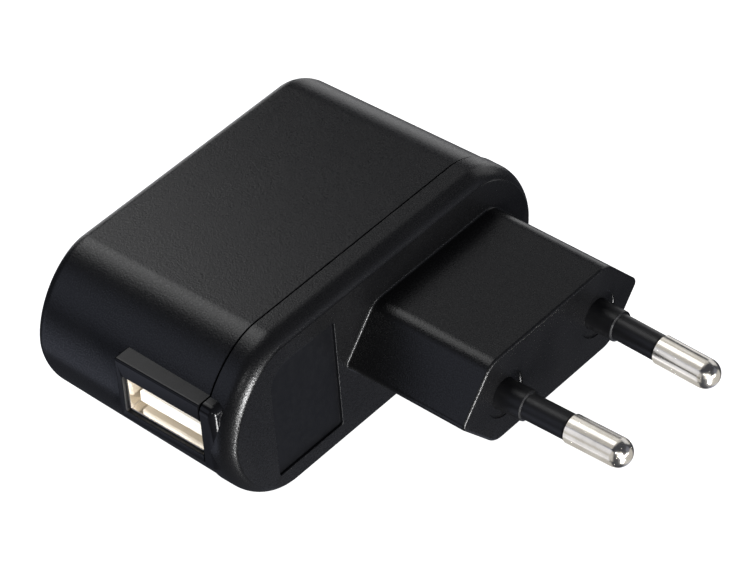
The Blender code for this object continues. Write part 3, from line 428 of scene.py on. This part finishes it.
def wound_wire(name, colour, dark, pitch):
    """Enamelled wire wound turn on turn up a bobbin; the colour darkens between turns as painted shade."""
    n = Nodes(name)
    wave = n.add("ShaderNodeTexWave", wave_type="BANDS", bands_direction="Z", wave_profile="SIN")
    n.link(n.place, wave.inputs["Vector"])
    wave.inputs["Scale"].default_value = math.tau / 20 / pitch
    wave.inputs["Distortion"].default_value = 0.4
    turn_bands_and_painted_shade = wave.outputs["Fac"]
    patches = n.noise(500, 3.0)
    # Painted shade: the wire colour goes dark in the grooves between turns, by the same bands that drive the
    # bump.
    tint = n.mix_colours(n.spread(turn_bands_and_painted_shade, 0.0, 1.0, 0.0, 0.5), dark, colour)
    n.set(Metallic=0.85)
    roughness = n.spread(patches, 0.22, 0.42, 0.3, 0.7)
    return n.drive(Base_Color=tint, Roughness=roughness, Normal=n.bump(turn_bands_and_painted_shade, 0.9, pitch * 0.4))


COPPER = wound_wire("copper_winding", (0.80, 0.36, 0.15), (0.30, 0.12, 0.05), 0.25 * MM)
LAMINATE = textured_plastic(
    "board_laminate", (0.34, 0.25, 0.11), (0.45, 0.34, 0.17), 0.48, 0.66, 1500, 0.00002
)
FERRITE = textured_plastic("ferrite", (0.030, 0.030, 0.034), (0.055, 0.055, 0.060), 0.45, 0.62, 2600, 0.00003)
CHIP = textured_plastic("chip_resin", (0.018, 0.018, 0.020), (0.030, 0.030, 0.032), 0.42, 0.58, 3600, 0.00002)
CERAMIC = textured_plastic("fired_ceramic", (0.50, 0.38, 0.23), (0.62, 0.49, 0.31), 0.45, 0.60, 3000, 0.00002)
BOBBIN = smooth_plastic("bobbin_resin", (0.035, 0.035, 0.037), (0.055, 0.055, 0.057), 0.42)
TAPE = smooth_plastic("winding_tape", (0.74, 0.57, 0.06), (0.84, 0.68, 0.12), 0.30, 0.00006)
FILM = smooth_plastic("capacitor_film", (0.012, 0.035, 0.13), (0.022, 0.055, 0.18), 0.22, 0.00004)
DISC = smooth_plastic("disc_coating", (0.05, 0.17, 0.42), (0.08, 0.23, 0.50), 0.25, 0.00008)
RESISTOR = smooth_plastic("resistor_paint", (0.22, 0.42, 0.35), (0.30, 0.50, 0.42), 0.42, 0.00003)
INDUCTOR = smooth_plastic("inductor_coating", (0.08, 0.27, 0.10), (0.12, 0.34, 0.14), 0.38, 0.00006)
RED_WIRE = smooth_plastic("wire_insulation", (0.32, 0.015, 0.015), (0.42, 0.03, 0.03), 0.45, 0.00004)


# ---------------------------------------------------------------- covers


def port_cutter(name):
    """The port opening with a rounded lip, reaching from outside to the receptacle."""
    lip = 0.18 * MM
    y_low, y_high = PORT_Y - 6.6 * MM, PORT_Y + 6.65 * MM
    z_low, z_high = PORT_Z - 2.96 * MM, PORT_Z + 2.92 * MM
    outside_x = -HALF_LENGTH - 2 * MM
    loops = [rect_loop(outside_x, y_low - lip, y_high + lip, z_low - lip, z_high + lip, 0.45 * MM)]
    for step in range(6):
        angle = step / 5 * QUARTER_TURN
        grow = lip * (1 - math.sin(angle))
        x = -HALF_LENGTH + lip * (1 - math.cos(angle))
        loops.append(rect_loop(x, y_low - grow, y_high + grow, z_low - grow, z_high + grow, 0.27 * MM + grow))
    loops.append(rect_loop(-20 * MM, y_low, y_high, z_low, z_high, 0.27 * MM))
    return skin(name, loops, MOUTH)


def rear_cover():
    inset = REAR_STEP + REAR_DRAFT
    steps = 6
    break_edge = 0.12 * MM
    loops = [
        at_y(REAR_Y - WALL, body_outline(WALL + REAR_DRAFT)),
        at_y(PARTING_Y + 0.9 * MM, body_outline(WALL)),
        at_y(PARTING_Y + 0.9 * MM, body_outline(WALL - 0.8 * MM)),
        at_y(REAR_START_Y, body_outline(WALL - 0.8 * MM)),
        at_y(REAR_START_Y, body_outline(REAR_STEP + break_edge)),
        at_y(REAR_START_Y + break_edge * 0.3, body_outline(REAR_STEP + break_edge * 0.3)),
    ]
    straight = REAR_Y - REAR_EDGE_ROUND - REAR_START_Y - break_edge
    loops += [
        at_y(
            REAR_START_Y + break_edge + straight * step / steps,
            body_outline(REAR_STEP + REAR_DRAFT * step / steps),
        )
        for step in range(steps)
    ]
    loops += rounding(REAR_Y, 1, REAR_EDGE_ROUND, inset, body_outline, 12)
    cover = skin("rear_cover_shell", loops, COVER)
    bezel = block(
        "rear_bezel",
        (-HALF_LENGTH, REAR_START_Y, BEZEL_BOTTOM),
        (BEZEL_INNER_X, BEZEL_REAR, BEZEL_TOP),
        GLOSS,
        0.42 * MM,
        6,
        lambda edge: any(vertex.co.y > PORT_Y for vertex in edge.verts),
    )
    inside = block(
        "inside",
        (-HALF_LENGTH + WALL, REAR_START_Y - 1 * MM, BEZEL_BOTTOM + 0.5 * MM),
        (BEZEL_INNER_X + 1 * MM, BEZEL_REAR + 1 * MM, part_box("circuit_board")[1].z + 0.3 * MM),
        COVER,
    )
    join(cover, bezel)
    cut(cover, inside, port_cutter("rear_port"))
    finish_shape(cover)
    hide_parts("rear_cover")


def front_cover():
    lip = WALL - 0.7 * MM
    loops = front_edge_loops() + [
        at_y(FRONT_END_Y - 0.1 * MM, body_outline(0)),
        at_y(FRONT_END_Y - 0.03 * MM, body_outline(0.03 * MM)),
        at_y(FRONT_END_Y, body_outline(0.1 * MM)),
        at_y(FRONT_END_Y, body_outline(lip)),
        at_y(PARTING_Y + 0.8 * MM, body_outline(lip)),
        at_y(PARTING_Y + 0.8 * MM, body_outline(WALL)),
        at_y(FRONT_Y + WALL, body_outline(WALL)),
    ]
    cover = skin("front_cover_shell", loops, COVER)
    boss_loops = rounding(PLUG_FACE_Y, -1, 0.4 * MM, 0, boss_outline, 6)
    root = 0.28 * MM
    for step in range(6):
        angle = step / 5 * QUARTER_TURN
        y = FRONT_Y - root * (1 - math.sin(angle))
        boss_loops.append(at_y(y, boss_outline(-root * (1 - math.cos(angle)))))
    boss_loops.append(at_y(FRONT_Y + 1 * MM, boss_outline(-root)))
    boss = skin("boss", boss_loops, BOSS)
    boss_hollow = skin(
        "boss_hollow",
        [at_y(PLUG_FACE_Y + 4 * MM, boss_outline(WALL)), at_y(FRONT_Y + WALL + 1 * MM, boss_outline(WALL))],
        COVER,
    )
    join(cover, boss)
    cut(cover, boss_hollow)
    bar = block(
        "bar",
        (-HALF_LENGTH, FRONT_END_Y - 2.4 * MM, BEZEL_BOTTOM),
        (BEZEL_INNER_X, FRONT_END_Y, BEZEL_TOP),
        GLOSS,
        1.2 * MM,
        8,
        bar_edges,
    )
    join(cover, bar)
    gap = block(
        "gap",
        (-HALF_LENGTH - 1 * MM, FRONT_END_Y, BEZEL_BOTTOM - 0.4 * MM),
        (-20 * MM, PARTING_Y + 3 * MM, BEZEL_TOP + 0.4 * MM),
        COVER,
    )
    recess = skin("recess", recess_loops(), RECESS_PAINTED_SHADE)
    cut(cover, gap, recess)
    for pin in ("left", "right"):
        place, axis = pin_line(pin)
        well = turned(
            "well",
            (
                (ON_AXIS, -1 * MM),
                (3.4 * MM, -1 * MM),
                (3.4 * MM, 0.2 * MM),
                (3.3 * MM, 0.28 * MM),
                (2.2 * MM, 0.28 * MM),
                (2.2 * MM, 1.35 * MM),
                (1.55 * MM, 1.35 * MM),
                (1.55 * MM, 4.5 * MM),
                (ON_AXIS, 4.5 * MM),
            ),
            place,
            -axis,
            BOSS,
        )
        cut(cover, well)
    finish_shape(cover)
    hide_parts("front_cover")


def front_edge_loops():
    """The flat front face, its low raised brim, and the rounding that meets it at an angle."""
    rim = FRONT_EDGE_ROUND * (1 - math.cos(FRONT_EDGE_SWEEP))
    loops = [at_y(FRONT_Y, body_outline(rim + 0.07 * MM))]
    arc_y = FRONT_Y + FRONT_PLATEAU + FRONT_EDGE_ROUND * math.sin(FRONT_EDGE_SWEEP)
    for step in range(13):
        angle = FRONT_EDGE_SWEEP * (1 - step / 12)
        y = arc_y - FRONT_EDGE_ROUND * math.sin(angle)
        loops.append(at_y(y, body_outline(FRONT_EDGE_ROUND * (1 - math.cos(angle)))))
    return loops


def recess_loops():
    """The label recess's cutter, flared at the front face so that the recess has a rounded brim."""
    brim = 0.14 * MM
    x_low, x_high, z_low, z_high = -21.5 * MM, -9.6 * MM, 3.9 * MM, 21.4 * MM

    def outline(grow):
        corners = (
            (x_high + grow, z_high + grow),
            (x_high + grow, z_low - grow),
            (x_low - grow, z_low - grow),
            (x_low - grow, z_high + grow),
        )
        return rounded_polygon(corners, (0.3 * MM + grow, 0.3 * MM + grow, 0.3 * MM + grow, 3.0 * MM + grow))

    loops = [at_y(FRONT_Y - 1 * MM, outline(brim))]
    for step in range(5):
        angle = step / 4 * QUARTER_TURN
        loops.append(at_y(FRONT_Y + brim * (1 - math.cos(angle)), outline(brim * (1 - math.sin(angle)))))
    loops.append(at_y(FRONT_Y + 0.4 * MM, outline(0)))
    return loops


def bar_edges(edge):
    """The plug-side upright and the top edges that look out of the port frame's fourth side."""
    ends = [vertex.co for vertex in edge.verts]
    middle_y = FRONT_END_Y - 1.2 * MM
    outer = all(end.x < -HALF_LENGTH + 1 * MM for end in ends)
    plug_side = all(end.y < middle_y for end in ends)
    top = all(end.z > PORT_Z for end in ends)
    return (outer and plug_side) or (top and (outer or plug_side))


# ---------------------------------------------------------------- pins


def pin_line(side):
    """Where a pin leaves the plug face, and its direction outwards."""
    way = -1 if side == "left" else 1
    toe = (18.5 - 17.6) / 2 / 19.5
    place = Vector((BOSS_X + way * 9.25 * MM, PLUG_FACE_Y, HALF_THICKNESS))
    return place, Vector((-way * toe, -1, 0)).normalized()


def pins():
    radius, length, sleeve_end = 2.0 * MM, 19.5 * MM, 10.4 * MM
    dome = [
        (max(radius * math.sin(angle), ON_AXIS), length - radius + radius * math.cos(angle))
        for angle in (step * QUARTER_TURN / 16 for step in range(17))
    ]
    shoulder = [(radius, sleeve_end + 0.12 * MM), (radius - 0.12 * MM, sleeve_end), (1.5 * MM, sleeve_end)]
    root = [
        (1.5 * MM, -4.05 * MM),
        (2.4 * MM, -4.05 * MM),
        (2.4 * MM, -5.0 * MM),
        (1.0 * MM, -5.0 * MM),
        (1.0 * MM, -9.0 * MM),
        (ON_AXIS, -9.0 * MM),
    ]
    bore = 1.55 * MM
    sleeve_profile = (
        (bore, sleeve_end - 0.05 * MM),
        (1.70 * MM, sleeve_end - 0.05 * MM),
        (1.80 * MM, sleeve_end - 0.2 * MM),
        (1.80 * MM, 3.95 * MM),
        (1.85 * MM, 3.78 * MM),
        (2.02 * MM, 3.70 * MM),
        (2.12 * MM, 3.66 * MM),
        (2.15 * MM, 3.5 * MM),
        (2.15 * MM, -1.3 * MM),
        (bore, -1.3 * MM),
    )
    for side in ("left", "right"):
        place, axis = pin_line(side)
        pin = turned(f"pin_{side}_turned", dome + shoulder + root, place, axis, NICKEL)
        finish_shape(pin)
        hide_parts(f"pin_{side}")
        sleeve = turned(f"pin_sleeve_{side}_moulded", sleeve_profile, place, axis, SLEEVE, ring=True)
        finish_shape(sleeve)
        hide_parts(f"pin_sleeve_{side}")


# ---------------------------------------------------------------- port


def usb_shell():
    """The folded shield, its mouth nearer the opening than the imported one's by SHELL_ADVANCE."""
    wall = 0.3 * MM
    low, high = Vector(SHELL_LOW), Vector(SHELL_HIGH)
    low.x -= SHELL_ADVANCE
    y_low, y_high = PORT_Y - 6.55 * MM, PORT_Y + 6.55 * MM
    z_low, z_high = PORT_Z - 2.86 * MM, PORT_Z + 2.86 * MM

    def loop(x, inset):
        return rect_loop(x, y_low + inset, y_high - inset, z_low + inset, z_high - inset, 0.5 * MM - inset)

    edge = 0.08 * MM
    loops = [
        loop(low.x + edge, 0),
        loop(high.x, 0),
        loop(high.x, wall),
        loop(low.x + edge * 1.5, wall),
        loop(low.x + edge * 0.4, wall - edge * 0.5),
        loop(low.x, wall - edge * 1.2),
        loop(low.x, edge * 1.2),
        loop(low.x + edge * 0.4, edge * 0.4),
    ]
    shell = skin("usb_shell_folded", loops, STEEL, ring=True)
    for number in range(1, 5):
        spring_low, spring_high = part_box(f"usb_shell_spring_{number}")
        top = number < 3
        z = z_high if top else z_low
        window = block(
            "window",
            (spring_low.x - 0.5 * MM, spring_low.y - 0.15 * MM, z - 0.5 * MM),
            (spring_high.x + 0.15 * MM, spring_high.y + 0.15 * MM, z + 0.5 * MM),
            STEEL,
        )
        cut(shell, window)
    for side in (-1, 1):
        y = PORT_Y + side * 6.35 * MM
        leg = block(
            "leg",
            (high.x - 6.6 * MM, y - 0.15 * MM, z_high - 1.5 * MM),
            (high.x - 4.9 * MM, y + 0.15 * MM, high.z),
            STEEL,
            0.06 * MM,
            2,
        )
        join(shell, leg)
    finish_shape(shell)
    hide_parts("usb_shell")


# ---------------------------------------------------------------- carried-over nodes


SLOT_FINISHES = {
    "aluminium_can": ALUMINIUM,
    "board_laminate": LAMINATE,
    "bobbin_resin": BOBBIN,
    "capacitor_sleeve": FILM,
    "ceramic_body": CERAMIC,
    "chip_resin": CHIP,
    "copper_wire": COPPER,
    "disc_coating": DISC,
    "ferrite": FERRITE,
    "gold_plate": GOLD,
    "inductor_coating": INDUCTOR,
    "insulated_wire": RED_WIRE,
    "nickel_plate": NICKEL,
    "plated_steel": STEEL,
    "resistor_coating": RESISTOR,
    "tinned_copper": TIN,
    "white_insulator": WHITE,
    "winding_tape": TAPE,
}


def finish_inner_nodes():
    """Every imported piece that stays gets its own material, by the record's slot for it."""
    for row in frame["record"]["subparts"]:
        material = SLOT_FINISHES.get(row["material_slot"])
        if material:
            mesh = NODES[row["node"]].data
            mesh.materials.clear()
            mesh.materials.append(material)


# ---------------------------------------------------------------- studio


NEUTRAL = (1, 1, 1)
COOL = (0.88, 0.94, 1.18)
WARM = (1.0, 0.97, 0.90)
LIGHT_TARGET = Vector((0, 0.008, 0.013))

CAMERA_PLACE = (-0.25974, -0.24765, 0.34167)
CAMERA_TURN = tuple(math.radians(angle) for angle in (48.196, 3.477, -49.026))
CAMERA_LENS = 183.57
CAMERA_SHIFT = (0.0025, -0.0024)
NEAREST_SEEN = 0.01

FLOOR_SIZE = 3.0
FLOOR_DROP = 0.0002
WORLD_COLOUR = (0.90, 0.95, 1.15, 1)
WORLD_STRENGTH = 0.06

# Name, azimuth, elevation, distance, size, radiance and, where it is not neutral, colour.
SOFT_LIGHTS = (
    ("overhead_front", 66, 42, 0.32, (0.11, 0.14), 1.4),
    ("overhead_boss", 34, 42, 0.32, (0.07, 0.12), 0.4),
    ("overhead_rear", 82, 45, 0.32, (0.14, 0.14), 1.25),
    ("overhead_top", 82, 66, 0.32, (0.16, 0.14), 1.5),
    ("backdrop_left", 62, -3, 0.6, (0.25, 0.30), 1.2),
    ("backdrop_right", 30, -3, 0.6, (0.30, 0.30), 0.9),
    ("strip_low", -110, -32, 0.5, (0.05, 0.18), 46),
    ("strip_high", -112, 0, 0.5, (0.05, 0.20), 92),
    ("strip_top", -80, 2, 0.5, (0.20, 0.035), 22),
    ("left_high", 145, 25, 0.6, (0.45, 0.35), 0.42, COOL),
    ("left_low", 140, -25, 0.6, (0.45, 0.35), 0.44, COOL),
    ("right_high", 0, 20, 0.6, (0.40, 0.40), 0.8),
    ("front_high", -55, 15, 0.6, (0.35, 0.30), 0.15, COOL),
    ("front_low", -20, -64, 0.5, (0.25, 0.20), 0.38, COOL),
)
PORT_LIGHTS = (
    ("port_light", -155, 25, 0.6, (0.30, 0.30), 18, WARM),
)
PIN_LIGHTS = (
    ("pin_light_low", 95, -50, 0.4, (0.80, 0.50), 0.60, WARM),
    ("pin_light_high", 80, 50, 0.4, (0.80, 0.50), 0.55, WARM),
    ("pin_light_left", 160, 0, 0.4, (0.50, 0.60), 0.62, WARM),
    ("pin_light_front", -60, -30, 0.4, (0.50, 0.50), 0.60, WARM),
    ("pin_light_side", -125, 20, 0.4, (0.22, 0.22), 1.6, WARM),
)
CATCHLIGHTS = (
    ("catchlight", -150, 34, 0.6, (0.05, 0.05), 22),
)
PORT_NODES = ["usb_shell", "usb_shell_folded", "usb_insulator"] + [
    f"usb_{kind}_{number}" for kind in ("contact", "shell_spring") for number in range(1, 5)
]
PIN_NODES = ["pin_left_turned", "pin_right_turned"]


def soft_light(name, azimuth, elevation, distance, size, radiance, colour=NEUTRAL, receivers=None):
    """A panel facing the charger, placed as the charger sees it.

    Angles are in degrees. Where receivers are given, they are the only pieces that it lights.
    """
    data = bpy.data.lights.new(name, "AREA")
    data.shape = "RECTANGLE"
    data.size, data.size_y = size
    data.energy = radiance * math.pi * size[0] * size[1]
    data.color = colour
    light = bpy.data.objects.new(name, data)
    turn, rise = math.radians(azimuth), math.radians(elevation)
    way = Vector((math.cos(rise) * math.cos(turn), math.cos(rise) * math.sin(turn), math.sin(rise)))
    light.location = LIGHT_TARGET + way * distance
    light.rotation_euler = (-way).to_track_quat("-Z", "Y").to_euler()
    light.visible_camera = False
    if receivers:
        group = bpy.data.collections.new(name + "_receivers")
        for receiver in receivers:
            group.objects.link(bpy.data.objects[receiver])
        light.light_linking.receiver_collection = group
    bpy.context.scene.collection.objects.link(light)


def studio():
    scene = bpy.context.scene
    camera_data = bpy.data.cameras.new("camera")
    camera_data.lens = CAMERA_LENS
    camera_data.sensor_width = 36.0
    camera_data.shift_x, camera_data.shift_y = CAMERA_SHIFT
    camera_data.clip_start = NEAREST_SEEN
    camera = bpy.data.objects.new("camera", camera_data)
    camera.location = CAMERA_PLACE
    camera.rotation_euler = CAMERA_TURN
    scene.collection.objects.link(camera)
    scene.camera = camera

    bm = bmesh.new()
    bmesh.ops.create_grid(bm, x_segments=1, y_segments=1, size=FLOOR_SIZE)
    bmesh.ops.translate(bm, vec=(0, 0, -FLOOR_DROP), verts=bm.verts)
    mesh = bpy.data.meshes.new("floor")
    bm.to_mesh(mesh)
    bm.free()
    floor_material = bpy.data.materials.new("floor_white")
    floor_material.use_nodes = True
    shader = floor_material.node_tree.nodes["Principled BSDF"]
    shader.inputs["Base Color"].default_value = (0.8, 0.8, 0.8, 1)
    shader.inputs["Emission Color"].default_value = (1, 1, 1, 1)
    shader.inputs["Emission Strength"].default_value = 1.0
    shader.inputs["Roughness"].default_value = 1.0
    mesh.materials.append(floor_material)
    floor = link("floor", mesh)
    floor.visible_glossy = False
    floor.visible_diffuse = False
    floor.visible_shadow = False

    world = bpy.data.worlds.new("studio")
    world.use_nodes = True
    world.node_tree.nodes["Background"].inputs["Color"].default_value = WORLD_COLOUR
    world.node_tree.nodes["Background"].inputs["Strength"].default_value = WORLD_STRENGTH
    scene.world = world

    for row in SOFT_LIGHTS:
        soft_light(*row)
    for row in PORT_LIGHTS:
        soft_light(*row, receivers=PORT_NODES)
    for row in PIN_LIGHTS:
        soft_light(*row, receivers=PIN_NODES)
    for row in CATCHLIGHTS:
        soft_light(*row)
    scene.view_settings.view_transform = "Standard"


rear_cover()
front_cover()
pins()
usb_shell()
finish_inner_nodes()
studio()

bpy.context.view_layer.update()
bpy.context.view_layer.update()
loose_pieces = [o for o in bpy.data.objects if o.type == "MESH" and o.parent is None and o.name != "floor"]
for piece in loose_pieces:
    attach(piece, "charger")
